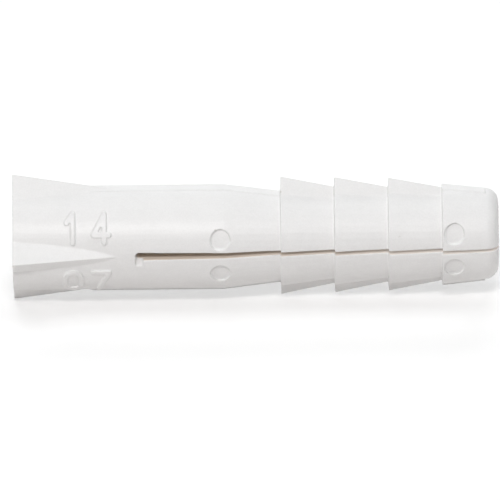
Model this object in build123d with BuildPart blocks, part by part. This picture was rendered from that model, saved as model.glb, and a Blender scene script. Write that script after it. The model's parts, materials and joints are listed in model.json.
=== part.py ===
from build123d import *

import os
from math import radians, tan

# Expansion plug for a screw: one nylon moulding, head at X = 0 and nose towards +X.
# The origin is the middle of the head face, at the mouth of the screw bore. The slot that
# parts the two legs lies in the XY plane, and the mould's parting plane is the XZ plane.
# The moulding is divided where it bends, at the slot root, and at its working members.
# All lengths are in millimetres.

# Lengths along the axis, from the head to the tip
sleeve_length = 9.85
shank_length = 6.65
neck_length = 4.4
barb_length = 4.2
barb_count = 3
nose_length = 4.4

# Round sizes
barrel_diameter = 8.1
neck_diameter = 7.0
screw_bore_diameter = 5.0
screw_channel_diameter = 1.8
bore_lead_in = 0.25
bore_run_into_legs = 2.0

# Fins at the head: two in the parting plane and two in the slot plane
fin_length = 8.8
fin_foot_depth = 0.6
fin_run_out = 0.1
top_fin_height = 1.35
bottom_fin_height = 1.12
parting_fin_foot_width = 3.4
side_fin_height = 1.5
side_fin_foot_width = 3.1
fin_tail_foot_width = 2.4

# Barbs: each is a cone that widens to a sharp lip towards the head, with a ridge on it
barb_lip_diameter = 7.84
barb_lip_drop = 0.06
barb_tail_diameter = 6.76
ridge_lip_height = 1.08
ridge_tail_height = 0.72
ridge_drop = 0.07
ridge_angle = 77.0
ridge_foot_radius = 2.6

# Nose
nose_lip_diameter = 7.86
nose_end_diameter = 6.9
nose_rounding = 1.05

# Slot between the legs, with a round end and a small scoop below its front edge
slot_root_width = 0.58
slot_neck_width = 0.31
slot_tip_width = 0.2
slot_relief_diameter = 0.6
scoop_width = 0.58
scoop_height = 0.5
scoop_corner = 0.12
scoop_depth = 0.5
scoop_drop = 0.54
scoop_slope = 45.0

# Parting lands: the flat strips where the two mould halves meet. The upper one is dressed
# down nearly flush, and the lower one stands proud. Both rise out of the fins' tails.
land_width = 0.84
upper_land_height = 0.07
lower_land_height = 0.3
land_root = 0.3
land_start = 5.0
land_rise_length = 1.2

# Shallow round marks that the ejector pins leave on the front of the legs
ejector_mark_diameter = 1.56
ejector_mark_depth = 0.26
shank_mark_reach = 6.32
upper_shank_mark_height = 1.22
lower_shank_mark_height = 1.66
nose_mark_reach = 0.91
nose_mark_height = 1.39

# Raised cavity numbers on the front of the sleeve
numeral_width = 1.2
numeral_height = 1.9
numeral_stroke = 0.36
numeral_pitch = 2.2
numeral_relief = 0.17
numeral_root = 0.3
numeral_start = 4.1
upper_numeral_level = 1.2
lower_numeral_level = -3.25

barrel_radius = barrel_diameter / 2
neck_radius = neck_diameter / 2
bore_radius = screw_bore_diameter / 2
channel_radius = screw_channel_diameter / 2
slot_root = sleeve_length
neck_start = slot_root + shank_length
neck_end = neck_start + neck_length
nose_start = neck_end + barb_count * barb_length
tip = nose_start + nose_length
cutter_reach = barrel_diameter

os.makedirs("parts", exist_ok=True)


def stroke(foot, x_start, z_start, x_end, z_end):
    """One straight stroke of a numeral; ends are shares of its width and height."""
    start = (foot[0] + x_start * numeral_width, foot[1] + z_start * numeral_height)
    end = (foot[0] + x_end * numeral_width, foot[1] + z_end * numeral_height)
    middle = ((start[0] + end[0]) / 2, (start[1] + end[1]) / 2)
    SlotCenterPoint(middle, end, numeral_stroke)


def zero(foot):
    """A round zero, as a ring with straight sides."""
    middle = (foot[0] + numeral_width / 2, foot[1] + numeral_height / 2)
    outer_height = numeral_height + numeral_stroke
    outer_width = numeral_width + numeral_stroke
    with Locations(middle):
        SlotOverall(outer_height, outer_width, rotation=90)
        SlotOverall(
            outer_height - 2 * numeral_stroke,
            outer_width - 2 * numeral_stroke,
            rotation=90,
            mode=Mode.SUBTRACT,
        )


def one(foot):
    stroke(foot, 0.5, 0, 0.5, 1)
    stroke(foot, 0.5, 1, 0.1, 0.75)


def four(foot):
    stroke(foot, 0.7, 0, 0.7, 1)
    stroke(foot, 0.7, 1, 0, 0.3)
    stroke(foot, 0, 0.3, 1, 0.3)


def seven(foot):
    stroke(foot, 0, 1, 1, 1)
    stroke(foot, 1, 1, 0.3, 0)


# The numbers are raised off the front of the barrel, straight out of the mould half.
with BuildPart() as numerals:
    with BuildSketch(Plane.XZ):
        one((numeral_start, upper_numeral_level))
        four((numeral_start + numeral_pitch, upper_numeral_level))
        zero((numeral_start, lower_numeral_level))
        seven((numeral_start + numeral_pitch, lower_numeral_level))
    extrude(amount=barrel_diameter)
    with BuildSketch(Plane.YZ):
        Circle(barrel_radius + numeral_relief)
        Circle(barrel_radius - numeral_root, mode=Mode.SUBTRACT)
    extrude(amount=sleeve_length, mode=Mode.INTERSECT)

# The sleeve's stretch of the parting lands
land_full = land_start + land_rise_length
with BuildPart() as sleeve_lands:
    with BuildSketch(Plane.XZ):
        for way, land_height in ((1, upper_land_height), (-1, lower_land_height)):
            with BuildLine():
                Polyline(
                    (land_start, way * (barrel_radius - land_root)),
                    (land_start, way * barrel_radius),
                    (land_full, way * (barrel_radius + land_height)),
                    (sleeve_length, way * (barrel_radius + land_height)),
                    (sleeve_length, way * (barrel_radius - land_root)),
                    close=True,
                )
            make_face()
    extrude(amount=land_width / 2, both=True)

# The scoop is cut from below and in front, up into the end of the slot, with a flat floor.
scoop_mouth = (slot_root, -barrel_radius, -scoop_drop)
scoop_way = Vector(0, 1, 0).rotate(Axis.X, scoop_slope)
with BuildPart() as scoop:
    with BuildSketch(Plane(scoop_mouth, x_dir=(1, 0, 0), z_dir=scoop_way)):
        RectangleRounded(scoop_width, scoop_height, scoop_corner)
    extrude(amount=scoop_depth, both=True)

# Sleeve: the closed tube behind the head face, with the round end of the slot.
with BuildPart() as sleeve:
    with BuildSketch(Plane.YZ):
        Circle(barrel_radius)
    extrude(amount=sleeve_length)
    add(sleeve_lands.part)
    add(numerals.part)
    with BuildSketch(Plane.YZ):
        Circle(bore_radius)
    extrude(amount=sleeve_length, mode=Mode.SUBTRACT)
    mouth = sleeve.edges().filter_by(GeomType.CIRCLE).group_by(Axis.X)[0]
    chamfer(mouth.sort_by(SortBy.RADIUS)[0], bore_lead_in)
    with BuildSketch(Plane.XZ):
        with Locations((slot_root, 0)):
            Circle(slot_relief_diameter / 2)
    extrude(amount=cutter_reach, both=True, mode=Mode.SUBTRACT)
    add(scoop.part, mode=Mode.SUBTRACT)
sleeve.part.label = "sleeve"
export_step(sleeve.part, "parts/sleeve.step")


def triangle(half_width, foot, crest):
    """A ridge's cross-section, with its crest outwards, in a plane across the axis."""
    Polygon((-half_width, foot), (half_width, foot), (0, crest), align=None)


# Fins: stiff wedges on the sleeve that bite into the hole's rim and stop the plug turning.
fin_foot = barrel_radius - fin_foot_depth
fin_tail_crest = barrel_radius - fin_run_out
for name, turn, height, foot_width in (
    ("top_fin", 0, top_fin_height, parting_fin_foot_width),
    ("front_fin", 90, side_fin_height, side_fin_foot_width),
    ("bottom_fin", 180, bottom_fin_height, parting_fin_foot_width),
    ("rear_fin", 270, side_fin_height, side_fin_foot_width),
):
    across = Plane((0, 0, 0), x_dir=Vector(0, 1, 0).rotate(Axis.X, turn), z_dir=(1, 0, 0))
    with BuildPart() as fin:
        with BuildSketch(across):
            triangle(foot_width / 2, fin_foot, barrel_radius + height)
        with BuildSketch(across.offset(fin_length)):
            triangle(fin_tail_foot_width / 2, fin_foot, fin_tail_crest)
        loft(ruled=True)
        with BuildSketch(Plane.YZ):
            Circle(barrel_radius)
        extrude(amount=sleeve_length, mode=Mode.SUBTRACT)
        add(sleeve_lands.part, mode=Mode.SUBTRACT)
    fin.part.label = name
    export_step(fin.part, f"parts/{name}.step")

# Everything beyond a leg's own wall of the slot, with the relief at its root
with BuildPart() as below_slot:
    with BuildSketch(Plane.XZ):
        with BuildLine():
            Polyline(
                (slot_root, -cutter_reach),
                (slot_root, slot_root_width / 2),
                (neck_end, slot_neck_width / 2),
                (tip, slot_tip_width / 2),
                (tip, -cutter_reach),
                close=True,
            )
        make_face()
        with Locations((slot_root, 0)):
            Circle(slot_relief_diameter / 2)
    extrude(amount=cutter_reach, both=True)
with BuildPart() as above_slot:
    mirror(below_slot.part, about=Plane.XY)
beyond_slot = {"upper": below_slot.part, "lower": above_slot.part}


# Legs: half a tube each, straight at first and then drawn in to the neck. The screw bore
# runs into them and narrows to the channel, so that a screw drives them apart. The ejector
# pin's end is shaped to the moulding, so its mark is as deep all over.
for side, way, land_height, mark_height in (
    ("upper", 1, upper_land_height, upper_shank_mark_height),
    ("lower", -1, lower_land_height, lower_shank_mark_height),
):
    with BuildPart() as shank_mark:
        with BuildSketch(Plane.XZ):
            with Locations((slot_root + shank_mark_reach, way * mark_height)):
                Circle(ejector_mark_diameter / 2)
        extrude(amount=cutter_reach)
        with BuildSketch(Plane.YZ.offset(slot_root)):
            Circle(barrel_radius - ejector_mark_depth)
        extrude(amount=shank_length + neck_length, mode=Mode.SUBTRACT)
    with BuildPart() as leg:
        with BuildSketch(Plane.XZ):
            with BuildLine():
                Polyline(
                    (slot_root, bore_radius),
                    (slot_root, barrel_radius),
                    (neck_start, barrel_radius),
                    (neck_end, neck_radius),
                    (neck_end, channel_radius),
                    (slot_root + bore_run_into_legs, bore_radius),
                    close=True,
                )
            make_face()
        revolve(axis=Axis.X)
        with BuildSketch(Plane.XZ):
            with BuildLine():
                Polyline(
                    (slot_root, way * (barrel_radius - land_root)),
                    (slot_root, way * (barrel_radius + land_height)),
                    (neck_start, way * (barrel_radius + land_height)),
                    (neck_end, way * (neck_radius + land_height)),
                    (neck_end, way * (neck_radius - land_root)),
                    (neck_start, way * (barrel_radius - land_root)),
                    close=True,
                )
            make_face()
        extrude(amount=land_width / 2, both=True)
        add(beyond_slot[side], mode=Mode.SUBTRACT)
        add(shank_mark.part, mode=Mode.SUBTRACT)
        add(scoop.part, mode=Mode.SUBTRACT)
    leg.part.label = f"{side}_leg"
    export_step(leg.part, f"parts/{side}_leg.step")

# Barbs: three sawteeth on each leg, one behind the other, every lip towards the head.
# The ridge on each stands in the parting plane and cuts a track in the hole's wall.
for number in range(barb_count):
    lip = neck_end + number * barb_length
    tail = lip + barb_length
    lip_radius = (barb_lip_diameter - number * barb_lip_drop) / 2
    tail_radius = barb_tail_diameter / 2
    ridge_lip = lip_radius + ridge_lip_height - number * ridge_drop
    ridge_tail = tail_radius + ridge_tail_height - number * ridge_drop
    ridge_spread = tan(radians(ridge_angle / 2))
    with BuildPart() as upper_barb:
        with BuildSketch(Plane.XZ):
            with BuildLine():
                Polyline(
                    (lip, channel_radius),
                    (lip, lip_radius),
                    (tail, tail_radius),
                    (tail, channel_radius),
                    close=True,
                )
            make_face()
        revolve(axis=Axis.X)
        for place, crest in ((lip, ridge_lip), (tail, ridge_tail)):
            with BuildSketch(Plane.YZ.offset(place)):
                half_width = (crest - ridge_foot_radius) * ridge_spread
                triangle(half_width, ridge_foot_radius, crest)
        loft(ruled=True)
        add(below_slot.part, mode=Mode.SUBTRACT)
    upper_barb.part.label = f"upper_barb_{number + 1}"
    export_step(upper_barb.part, f"parts/upper_barb_{number + 1}.step")

    with BuildPart() as lower_barb:
        mirror(upper_barb.part, about=Plane.XY)
    lower_barb.part.label = f"lower_barb_{number + 1}"
    export_step(lower_barb.part, f"parts/lower_barb_{number + 1}.step")

# Noses: the rounded end of each leg, which leads the plug into its hole. The parting land
# stops where the rounding starts.
nose_lip_radius = nose_lip_diameter / 2
nose_end_radius = nose_end_diameter / 2
nose_draw = (nose_lip_radius - nose_end_radius) / nose_length
land_end = tip - nose_rounding
land_end_radius = nose_end_radius + nose_rounding * nose_draw
with BuildPart() as nose_mark_floor:
    with BuildSketch(Plane.XZ):
        with BuildLine():
            Polyline(
                (nose_start, 0),
                (nose_start, nose_lip_radius - ejector_mark_depth),
                (tip, nose_end_radius - ejector_mark_depth),
                (tip, 0),
                close=True,
            )
        make_face()
    revolve(axis=Axis.X)

for side, way, land_height in (
    ("upper", 1, upper_land_height),
    ("lower", -1, lower_land_height),
):
    with BuildPart() as nose_mark:
        with BuildSketch(Plane.XZ):
            with Locations((nose_start + nose_mark_reach, way * nose_mark_height)):
                Circle(ejector_mark_diameter / 2)
        extrude(amount=cutter_reach)
        add(nose_mark_floor.part, mode=Mode.SUBTRACT)
    with BuildPart() as nose:
        with BuildSketch(Plane.XZ):
            with BuildLine():
                Polyline(
                    (nose_start, channel_radius),
                    (nose_start, nose_lip_radius),
                    (tip, nose_end_radius),
                    (tip, channel_radius),
                    close=True,
                )
            make_face()
        revolve(axis=Axis.X)
        end_rims = nose.edges().filter_by(GeomType.CIRCLE).group_by(Axis.X)[-1]
        fillet(end_rims.sort_by(SortBy.RADIUS)[-1], nose_rounding)
        with BuildSketch(Plane.XZ):
            with BuildLine():
                Polyline(
                    (nose_start, way * (nose_lip_radius - land_root)),
                    (nose_start, way * (nose_lip_radius + land_height)),
                    (land_end, way * (land_end_radius + land_height)),
                    (land_end, way * (land_end_radius - land_root)),
                    close=True,
                )
            make_face()
        extrude(amount=land_width / 2, both=True)
        add(beyond_slot[side], mode=Mode.SUBTRACT)
        add(nose_mark.part, mode=Mode.SUBTRACT)
    nose.part.label = f"{side}_nose"
    export_step(nose.part, f"parts/{side}_nose.step")
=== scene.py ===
import json
from math import cos, hypot, pi, radians, sin

import bpy
from mathutils import Euler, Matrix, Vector

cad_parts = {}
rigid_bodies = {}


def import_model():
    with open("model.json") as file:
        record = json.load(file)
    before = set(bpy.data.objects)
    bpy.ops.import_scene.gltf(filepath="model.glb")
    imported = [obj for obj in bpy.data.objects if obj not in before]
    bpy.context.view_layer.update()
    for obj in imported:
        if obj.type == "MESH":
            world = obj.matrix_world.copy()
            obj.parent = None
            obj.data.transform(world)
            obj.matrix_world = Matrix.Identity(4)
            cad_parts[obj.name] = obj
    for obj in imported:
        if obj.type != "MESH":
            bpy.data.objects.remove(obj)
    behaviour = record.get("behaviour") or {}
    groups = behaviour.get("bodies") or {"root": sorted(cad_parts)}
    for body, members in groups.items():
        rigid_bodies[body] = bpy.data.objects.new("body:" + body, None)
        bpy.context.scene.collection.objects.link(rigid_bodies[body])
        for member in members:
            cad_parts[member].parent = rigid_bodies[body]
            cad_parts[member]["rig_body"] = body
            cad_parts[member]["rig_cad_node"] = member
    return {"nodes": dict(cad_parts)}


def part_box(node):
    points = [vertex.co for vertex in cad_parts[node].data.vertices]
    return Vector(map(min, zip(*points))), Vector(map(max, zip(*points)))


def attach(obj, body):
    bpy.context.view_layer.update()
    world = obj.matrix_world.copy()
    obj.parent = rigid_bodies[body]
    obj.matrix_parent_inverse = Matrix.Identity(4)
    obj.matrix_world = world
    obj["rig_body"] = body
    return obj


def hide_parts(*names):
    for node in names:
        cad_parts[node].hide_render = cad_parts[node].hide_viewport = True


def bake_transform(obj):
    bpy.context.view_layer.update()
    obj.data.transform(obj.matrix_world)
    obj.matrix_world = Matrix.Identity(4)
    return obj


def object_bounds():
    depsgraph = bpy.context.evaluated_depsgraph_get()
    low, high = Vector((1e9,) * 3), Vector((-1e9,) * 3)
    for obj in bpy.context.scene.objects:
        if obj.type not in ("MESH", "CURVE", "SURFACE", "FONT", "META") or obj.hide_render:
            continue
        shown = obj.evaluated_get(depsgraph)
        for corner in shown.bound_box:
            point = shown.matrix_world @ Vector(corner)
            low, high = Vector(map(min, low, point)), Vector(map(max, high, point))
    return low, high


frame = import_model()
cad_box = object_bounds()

# ---- The whole moulding ---------------------------------------------------------------------
# The plug is one shot of natural nylon, so its tube, fins, legs, barbs and noses run into each
# other without a joint. It is finished here as one skin, with the small soft edges that the
# mould gives, and sawn into its working members in the sections below.
MM = 0.001
SEAM = 1e-7
GRAIN = 0.055
RUB = 0.5
POLISH = 5
KEEP = 0.5
SLOT_HALF_WIDTH = 0.29
SLOT_LIP = 0.25
SLOT_LIP_POLISH = 3
fins = ["top_fin", "front_fin", "bottom_fin", "rear_fin"]
members = ["leg", "barb_1", "barb_2", "barb_3", "nose"]
slot_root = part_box("sleeve")[1].x / MM


def only(piece):
    """Makes one piece the whole selection."""
    bpy.ops.object.select_all(action="DESELECT")
    piece.select_set(True)
    bpy.context.view_layer.objects.active = piece


def resize(piece, factor):
    """Scales a piece's mesh about the frame's origin."""
    only(piece)
    bpy.ops.object.mode_set(mode="EDIT")
    bpy.ops.mesh.select_all(action="SELECT")
    bpy.ops.transform.resize(value=(factor, factor, factor), center_override=(0, 0, 0))
    bpy.ops.object.mode_set(mode="OBJECT")


def casting(name, nodes):
    """Copies CAD solids into one rough casting, in millimetres while it is worked on."""
    bpy.ops.object.select_all(action="DESELECT")
    for node in nodes:
        frame["nodes"][node].select_set(True)
    bpy.context.view_layer.objects.active = frame["nodes"][nodes[0]]
    bpy.ops.object.duplicate()
    bpy.ops.object.join()
    piece = bpy.context.object
    piece.name = name
    piece.parent = None
    del piece["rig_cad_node"], piece["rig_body"]
    bpy.ops.object.mode_set(mode="EDIT")
    bpy.ops.mesh.select_all(action="SELECT")
    bpy.ops.mesh.remove_doubles(threshold=SEAM)
    bpy.ops.object.mode_set(mode="OBJECT")
    resize(piece, 1 / MM)
    return piece


def finish_skin(piece, grain, passes):
    """Closes a casting into one even skin, with the small soft edges of moulded nylon."""
    only(piece)
    skin = piece.modifiers.new("skin", "REMESH")
    skin.mode = "VOXEL"
    skin.voxel_size = grain
    skin.use_smooth_shade = True
    bpy.ops.object.modifier_apply(modifier=skin.name)
    polish = piece.modifiers.new("polish", "SMOOTH")
    polish.factor = RUB
    polish.iterations = passes
    bpy.ops.object.modifier_apply(modifier=polish.name)


def round_slot_mouth(piece, passes):
    """Rounds the long edges where the slot comes out of the skin."""
    only(piece)
    bpy.ops.object.mode_set(mode="EDIT")
    bpy.ops.mesh.select_all(action="DESELECT")
    bpy.ops.object.mode_set(mode="OBJECT")
    for vertex in piece.data.vertices:
        near_mouth = abs(vertex.co.z) < SLOT_HALF_WIDTH + SLOT_LIP
        vertex.select = near_mouth and vertex.co.x > slot_root - 2 * SLOT_LIP
    bpy.ops.object.mode_set(mode="EDIT")
    bpy.ops.mesh.vertices_smooth(factor=RUB, repeat=passes)
    bpy.ops.object.mode_set(mode="OBJECT")


def thin_out(piece, keep):
    """Takes out the mesh's spare faces where the skin is plain."""
    only(piece)
    spare = piece.modifiers.new("spare", "DECIMATE")
    spare.ratio = keep
    bpy.ops.object.modifier_apply(modifier=spare.name)


nodes = ["sleeve", *fins]
nodes += [f"{side}_{member}" for side in ("upper", "lower") for member in members]
moulding = casting("moulding", nodes)
finish_skin(moulding, GRAIN, POLISH)
round_slot_mouth(moulding, SLOT_LIP_POLISH)
thin_out(moulding, KEEP)

# ---- Nylon ----------------------------------------------------------------------------------
# Natural, unpigmented nylon: milky white, faintly clouded, with flow streaks along the mould,
# a few scorched specks and a satin skin. The faces inside the slot and bore carry painted
# shade, a darker warm tan, and a painted glow, a faint emission that grows towards the nose,
# where the legs are slender.
MILKY = (0.871, 0.869, 0.867, 1)
CLOUDED = (0.815, 0.813, 0.811, 1)
SCORCHED = (0.3, 0.25, 0.2, 1)
# Painted shade: a darker warm tan for the slot and bore faces, lighter at the nose.
PAINTED_SHADE_AT_ROOT = (0.84, 0.755, 0.67, 1)
PAINTED_SHADE_AT_NOSE = (0.86, 0.815, 0.775, 1)
# The painted glow's colours, from none to white.
DARK = (0, 0, 0, 1)
PAINTED_GLOW_WHITE = (1, 1, 1, 1)
# Painted glow: the level of white emission on the slot and bore faces at the nose.
PAINTED_GLOW_LEVEL = 0.065
CLOUDS_PER_MM = 0.45
MOTTLES_PER_MM = 2.2
STREAKS_PER_MM = 1.6
PORES_PER_MM = 8.0
SPECKS_PER_MM = 0.42
SCORCH = 0.5
FLOW_STRETCH = 0.12
SATIN = 0.36
SATIN_SPREAD = 0.06
RIPPLE_STRENGTH = 0.35
RIPPLE_HEIGHT = 0.008 * MM
NYLON_IOR = 1.5
# Margin of the mask that takes the painted shade and glow.
PAINTED_MASK_MARGIN = 0.08
FLAT = 0.85
CREASE = radians(40)
nose_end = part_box("upper_nose")[1].x / MM


class Shade:
    """One socket of a material's nodes, so that shader maths reads as plain sums."""

    def __init__(self, tree, socket=None):
        self.tree = tree
        self.socket = socket

    def node(self, kind, settings, inputs, output=0):
        """Adds a node: its settings first, then the values or links of its sockets."""
        node = self.tree.nodes.new("ShaderNode" + kind)
        for name, value in settings.items():
            setattr(node, name, value)
        for name, value in inputs.items():
            if isinstance(value, Shade):
                self.tree.links.new(value.socket, node.inputs[name])
            else:
                node.inputs[name].default_value = value
        return Shade(self.tree, node.outputs[output]) if node.outputs else None

    def sum(self, operation, first, second):
        """Works one sum on two values or links."""
        return self.node("Math", {"operation": operation}, {0: first, 1: second})

    def __add__(self, other):
        return self.sum("ADD", self, other)

    def __sub__(self, other):
        return self.sum("SUBTRACT", self, other)

    def __rsub__(self, other):
        return self.sum("SUBTRACT", other, self)

    def __mul__(self, other):
        return self.sum("MULTIPLY", self, other)

    __radd__ = __add__
    __rmul__ = __mul__

    def step(self, low, high):
        """Runs smoothly from 0 at low to 1 at high."""
        settings = {"interpolation_type": "SMOOTHSTEP"}
        return self.node("MapRange", settings, {"Value": self, 1: low, 2: high})

    def tint(self, first, second):
        """Runs from one colour to another as this value goes from 0 to 1."""
        return self.node("Mix", {"data_type": "RGBA"}, {0: self, 6: first, 7: second}, 2)


nylon = bpy.data.materials.new("natural_nylon")
nylon.use_nodes = True
nylon.node_tree.nodes.clear()
shade = Shade(nylon.node_tree)
place = shade.node("TexCoord", {}, {}, "Object")
grid = shade.node("Mapping", {}, {"Vector": place, "Scale": (1 / MM,) * 3})
flow = (FLOW_STRETCH / MM, 1 / MM, 1 / MM)
along = shade.node("Mapping", {}, {"Vector": place, "Scale": flow})
clouds = shade.node("TexNoise", {}, {"Vector": grid, "Scale": CLOUDS_PER_MM, "Detail": 3.0})
mottle = shade.node("TexNoise", {}, {"Vector": grid, "Scale": MOTTLES_PER_MM, "Detail": 4.0})
streaks = shade.node("TexNoise", {}, {"Vector": along, "Scale": STREAKS_PER_MM, "Detail": 2.0})
pores = shade.node("TexNoise", {}, {"Vector": grid, "Scale": PORES_PER_MM, "Detail": 2.0})
spots = shade.node("TexVoronoi", {}, {"Vector": grid, "Scale": SPECKS_PER_MM}, "Distance")
specks = (1 - spots.step(0.03, 0.07)) * clouds.step(0.5, 0.6)
# Mask of the slot and bore faces that carry painted shade and a painted glow.
painted_shade_and_glow_mask = shade.node("Attribute", {"attribute_name": "painted_shade_and_glow_mask"}, {}, "Fac")
cloudy = clouds.step(0.35, 0.65) * 0.2 + mottle.step(0.3, 0.7) * 0.2
cloudy += streaks.step(0.3, 0.7) * 0.15 + pores.step(0.3, 0.7) * 0.45
skin = cloudy.tint(MILKY, CLOUDED)
speckled = (specks * SCORCH).tint(skin, SCORCHED)
satin = SATIN + mottle * SATIN_SPREAD + pores * SATIN_SPREAD
ripple = streaks * 0.5 + pores * 0.5
bump = {"Strength": RIPPLE_STRENGTH, "Distance": RIPPLE_HEIGHT, "Height": ripple}
relief = shade.node("Bump", {}, bump)
reach = shade.node("SeparateXYZ", {}, {"Vector": grid}, "X").step(slot_root, nose_end)
# Painted shade: those faces turn a darker warm tan, less so towards the nose.
painted_wall_shade = reach.tint(PAINTED_SHADE_AT_ROOT, PAINTED_SHADE_AT_NOSE)
colour = painted_shade_and_glow_mask.tint(speckled, painted_wall_shade)
# Painted glow: those faces emit faint white light, rising towards the nose.
painted_glow_amount = painted_shade_and_glow_mask * reach * PAINTED_GLOW_LEVEL
painted_glow = painted_glow_amount.tint(DARK, PAINTED_GLOW_WHITE)
surface = shade.node(
    "BsdfPrincipled",
    {},
    {
        "Base Color": colour,
        "Roughness": satin,
        "Normal": relief,
        "IOR": NYLON_IOR,
        "Emission Color": painted_glow,
        "Emission Strength": 1.0,
    },
)
shade.node("OutputMaterial", {}, {"Surface": surface})


def dress(piece, bore):
    """Gives a sawn piece its nylon, its mask for painted shade and glow, and its own scale."""
    mesh = piece.data
    # Marks the slot and bore faces that get painted shade and a painted glow.
    painted_shade_and_glow_mask = mesh.attributes.new("painted_shade_and_glow_mask", "FLOAT", "POINT")
    for vertex, value in zip(mesh.vertices, painted_shade_and_glow_mask.data):
        x, y, z = vertex.co
        flat = abs(vertex.normal.z) > FLAT
        in_slot = flat and abs(z) < SLOT_HALF_WIDTH + PAINTED_MASK_MARGIN
        in_bore = hypot(y, z) < bore + PAINTED_MASK_MARGIN
        value.value = 1.0 if in_slot or in_bore else 0.0
    mesh.materials.clear()
    mesh.materials.append(nylon)
    resize(piece, MM)
    bpy.ops.object.shade_smooth_by_angle(angle=CREASE)


# ---- Sleeve with its fins -------------------------------------------------------------------
# The closed tube behind the head face, with four fins that bite into the hole's rim. It is
# parted from the legs at the slot root, where the nylon bends.
SCREW_BORE = 2.5


def saw(piece, place, keep_head):
    """Cuts a piece straight across the axis and closes the cut face."""
    only(piece)
    bpy.ops.object.mode_set(mode="EDIT")
    bpy.ops.mesh.select_all(action="SELECT")
    bpy.ops.mesh.bisect(
        plane_co=(place, 0, 0),
        plane_no=(1, 0, 0),
        use_fill=True,
        clear_outer=keep_head,
        clear_inner=not keep_head,
    )
    bpy.ops.object.mode_set(mode="OBJECT")


def saw_off(piece, place):
    """Saws the head end off a piece, and gives it back as a piece of its own."""
    only(piece)
    bpy.ops.object.duplicate()
    head = bpy.context.object
    saw(head, place, True)
    saw(piece, place, False)
    return head


def part_loose(piece, count):
    """Parts a piece into its loose lumps, keeps the largest few and drops the crumbs."""
    only(piece)
    bpy.ops.object.mode_set(mode="EDIT")
    bpy.ops.mesh.separate(type="LOOSE")
    bpy.ops.object.mode_set(mode="OBJECT")
    lumps = sorted(bpy.context.selected_objects, key=lambda lump: len(lump.data.vertices))
    for crumb in lumps[:-count]:
        bpy.data.objects.remove(crumb)
    return lumps[-count:]


(sleeve,) = part_loose(saw_off(moulding, slot_root), 1)
sleeve.name = "sleeve_moulding"
dress(sleeve, SCREW_BORE)
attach(sleeve, "sleeve")
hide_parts("sleeve", *fins)

# ---- Legs: shanks, barbs and noses ----------------------------------------------------------
# Two half tubes that a screw drives apart, each with three sawteeth and a rounded end. They
# are sawn just short of each lip, and the shank bends where it leaves the sleeve.
LIP_MARGIN = 0.14
SCREW_CHANNEL = 0.9
for member in members:
    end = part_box("upper_" + member)[1].x / MM
    length = moulding if member == "nose" else saw_off(moulding, end - LIP_MARGIN)
    halves = sorted(part_loose(length, 2), key=lambda half: half.bound_box[0][2])
    for side, piece, level in zip(("lower", "upper"), halves, (-1, 1), strict=True):
        piece.name = f"{side}_{member}_moulding"
        dress(piece, SCREW_BORE if member == "leg" else SCREW_CHANNEL)
        if member == "leg":
            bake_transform(piece)
        else:
            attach(piece, f"{side}_leg")
        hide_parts(f"{side}_{member}")

# ---- Camera ---------------------------------------------------------------------------------
# A long lens a metre away, a little above the plug and square to it. The plug's axis crosses
# the square frame just above the middle, and the lens fits the plug's length into it.
FRAME_PX = 500
PX_PER_MM = 12.8
AXIS_ROW = 235.6
AIM = 18.49
ELEVATION = radians(23)
ROLL = radians(-0.6)
DISTANCE = 1.0
SENSOR = 36
view = Vector((0, cos(ELEVATION), -sin(ELEVATION)))
up = Vector((0, sin(ELEVATION), cos(ELEVATION)))
drop = (FRAME_PX / 2 - AXIS_ROW) / PX_PER_MM
target = Vector((AIM, 0, 0)) * MM - up * drop * MM
bpy.ops.object.camera_add(location=target - view * DISTANCE)
camera = bpy.context.object
turn = Euler((pi / 2 - ELEVATION, 0, 0)).to_matrix() @ Euler((0, 0, ROLL)).to_matrix()
camera.rotation_euler = turn.to_euler()
camera.data.sensor_width = SENSOR
camera.data.lens = SENSOR * DISTANCE / (FRAME_PX / PX_PER_MM * MM)
camera.data.clip_start = DISTANCE / 100
bpy.context.scene.camera = camera
bpy.context.scene.view_settings.view_transform = "Standard"

# ---- Floor and light ------------------------------------------------------------------------
# A sheet of matt white paper in a white tent, both lifted to clean white where they are looked
# at, also in the plug's sheen. A soft strip in front draws that sheen along the barrel, and the
# other softboxes are plain fill from above, from behind and from both sides.
PAPER = (0.9, 0.9, 0.9, 1)
PAPER_BOUNCE = (0.865, 0.842, 0.828, 1)
PAPER_SHARE = 0.8
PAPER_GLOW = 1.83
PAPER_SIZE = 2
PAPER_MIDDLE = 0.02
TENT = (1, 1, 1, 1)
WARM = (1, 0.986, 0.98)
COOL = (0.98, 0.995, 1)
PLUG_MIDDLE = Vector((0.019, 0, 0))
LAMP_REACH = 0.45


def looked_at(shade):
    """Gives 1 where paper or tent is looked at, even in a surface, and 0 for its light."""
    direct, mirrored, refracted = (
        shade.node("LightPath", {}, {}, f"Is {kind} Ray")
        for kind in ("Camera", "Glossy", "Transmission")
    )
    return direct + mirrored + refracted


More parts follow.
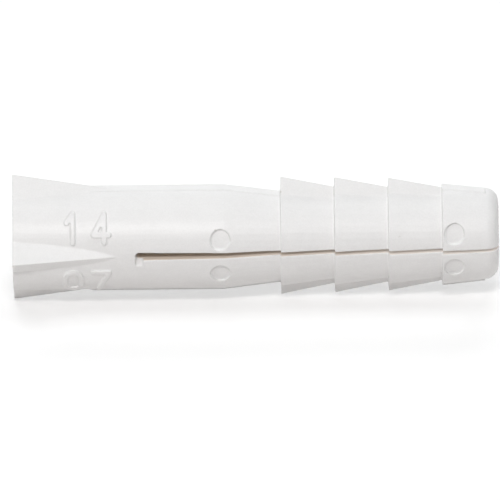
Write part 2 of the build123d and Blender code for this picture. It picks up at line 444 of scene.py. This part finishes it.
lowest = cad_box[0][2]
bpy.ops.mesh.primitive_plane_add(size=PAPER_SIZE, location=(PAPER_MIDDLE, 0, lowest))
floor = bpy.context.object
floor.name = "floor"
paper = bpy.data.materials.new("white_paper")
paper.use_nodes = True
paper.node_tree.nodes.clear()
shade = Shade(paper.node_tree)
matt = shade.node("BsdfDiffuse", {}, {"Color": PAPER})
glow = shade.node("Emission", {}, {"Strength": PAPER_GLOW})
white = shade.node("MixShader", {}, {0: 1 - PAPER_SHARE, 1: matt, 2: glow})
bounce = shade.node("BsdfDiffuse", {}, {"Color": PAPER_BOUNCE})
sheet = shade.node("MixShader", {}, {0: looked_at(shade), 1: bounce, 2: white})
shade.node("OutputMaterial", {}, {"Surface": sheet})
floor.data.materials.append(paper)

studio = bpy.data.worlds.new("studio")
bpy.context.scene.world = studio
studio.use_nodes = True
studio.node_tree.nodes.clear()
shade = Shade(studio.node_tree)
tent = shade.node("Background", {}, {"Color": TENT, "Strength": looked_at(shade)})
shade.node("OutputWorld", {}, {"Surface": tent})


def softbox(name, turn, rise, size, watts, colour, gloss=False):
    """Hangs a lamp at a compass turn and a height angle, in degrees, aimed at the plug."""
    turn, rise = radians(turn), radians(rise)
    way = Vector((cos(rise) * cos(turn), cos(rise) * sin(turn), sin(rise)))
    bpy.ops.object.light_add(type="AREA", location=PLUG_MIDDLE + way * LAMP_REACH)
    lamp = bpy.context.object
    lamp.name = name
    lamp.data.shape = "RECTANGLE"
    lamp.data.size, lamp.data.size_y = size
    lamp.data.energy = watts
    lamp.data.color = colour
    lamp.rotation_euler = (-way).to_track_quat("-Z", "Y").to_euler()
    lamp.visible_glossy = gloss


softbox("front_strip", -90, 42, (0.1, 0.05), 0.775, WARM, gloss=True)
softbox("front_left_softbox", -135, 35, (0.2, 0.2), 0.405, WARM)
softbox("overhead_softbox", 90, 90, (0.36, 0.36), 0.77, COOL, gloss=True)
softbox("back_softbox", 90, 32, (0.3, 0.2), 0.66, COOL)
softbox("back_left_softbox", 125, 30, (0.25, 0.2), 0.21, COOL)
softbox("right_softbox", 0, 40, (0.25, 0.25), 0.28, COOL)
